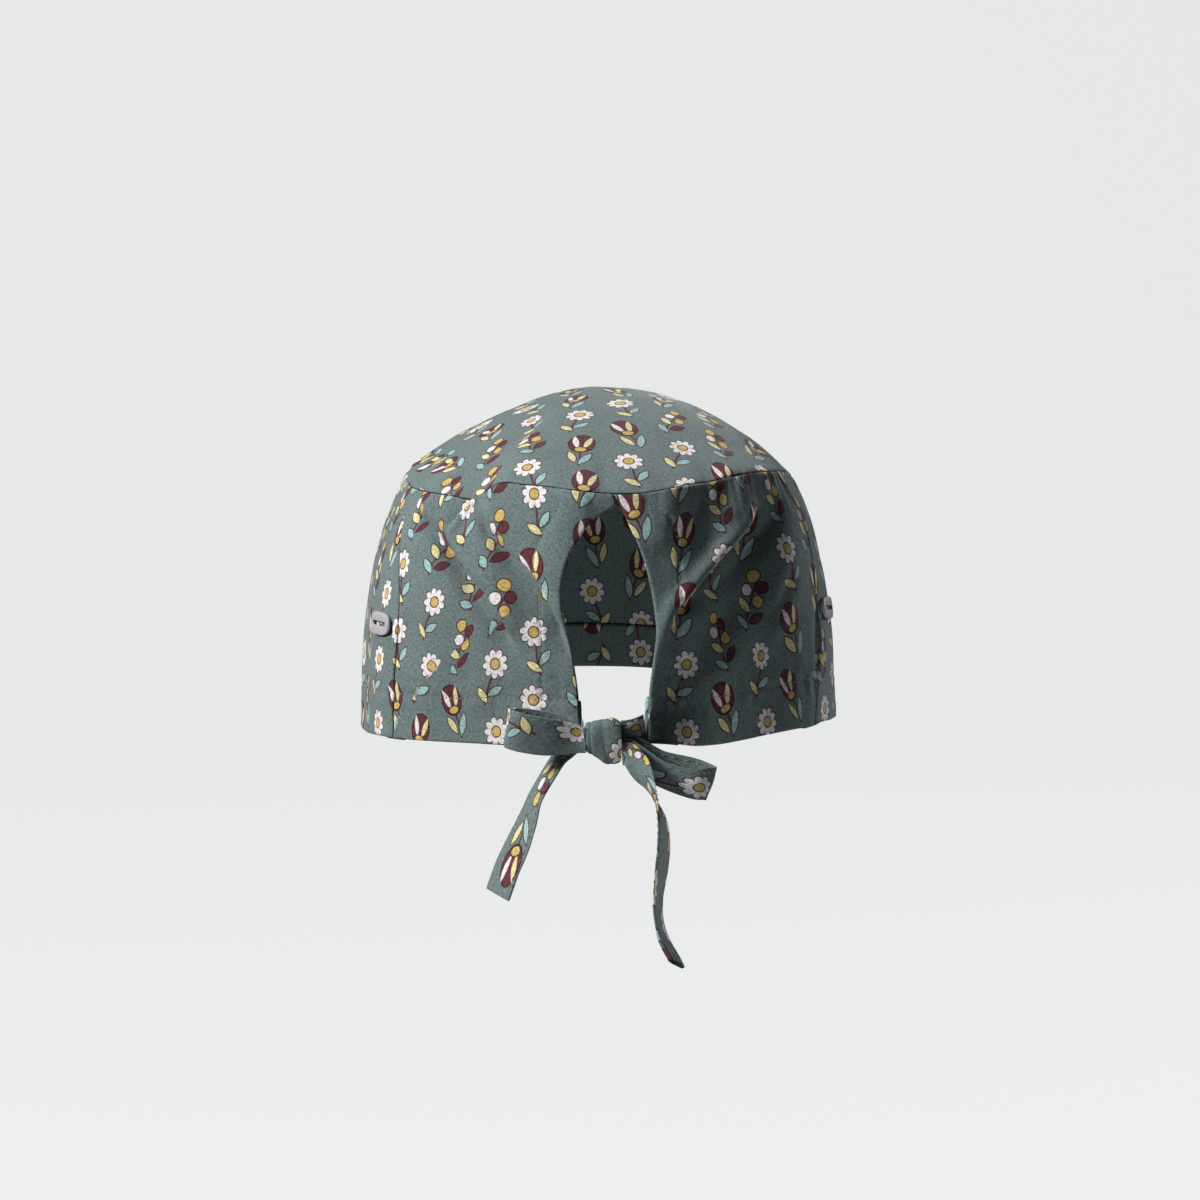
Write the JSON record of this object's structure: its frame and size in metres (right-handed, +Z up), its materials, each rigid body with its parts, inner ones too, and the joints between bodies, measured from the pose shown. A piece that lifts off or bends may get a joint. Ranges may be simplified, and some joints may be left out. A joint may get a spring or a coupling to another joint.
{
  "type": "scrub cap",
  "caption": "Scrub cap of printed cloth with an oval crown, a keyhole opening at the back and ties in a bow below it.",
  "frame": {"origin": "Centre of the head opening, in the plane of the hem, where the cap sits on a head", "axes": "+Z up through the crown, +Y ahead of the wearer and away from the bow, +X to the wearer's right"},
  "size_m": [0.1706, 0.228, 0.1883],
  "materials": {
    "crown_panel": "printed woven cotton",
    "front_panel": "printed woven cotton",
    "back_panel_left": "printed woven cotton",
    "back_panel_right": "printed woven cotton",
    "hem_front": "printed woven cotton",
    "hem_left": "printed woven cotton",
    "hem_right": "printed woven cotton",
    "facing_left": "printed woven cotton",
    "facing_right": "printed woven cotton",
    "tie_lead_left": "printed woven cotton",
    "tie_lead_right": "printed woven cotton",
    "tie_knot": "printed woven cotton",
    "bow_loop_left": "printed woven cotton",
    "bow_loop_right": "printed woven cotton",
    "tie_tail_left": "printed woven cotton",
    "tie_tail_right": "printed woven cotton",
    "side_tab_left": "satin",
    "side_tab_right": "satin"
  },
  "bodies": {
    "root": {"crown_panel": "crown_panel", "front_panel": "front_panel", "back_panel_left": "back_panel_left", "back_panel_right": "back_panel_right", "hem_front": "hem_front", "hem_left": "hem_left", "hem_right": "hem_right", "facing_left": "facing_left", "facing_right": "facing_right", "tie_lead_left": "tie_lead_left", "tie_lead_right": "tie_lead_right", "tie_knot": "tie_knot", "bow_loop_left": "bow_loop_left", "bow_loop_right": "bow_loop_right", "tie_tail_left": "tie_tail_left", "tie_tail_right": "tie_tail_right", "side_tab_left": "side_tab_left", "side_tab_right": "side_tab_right"}
  },
  "joints": []
}
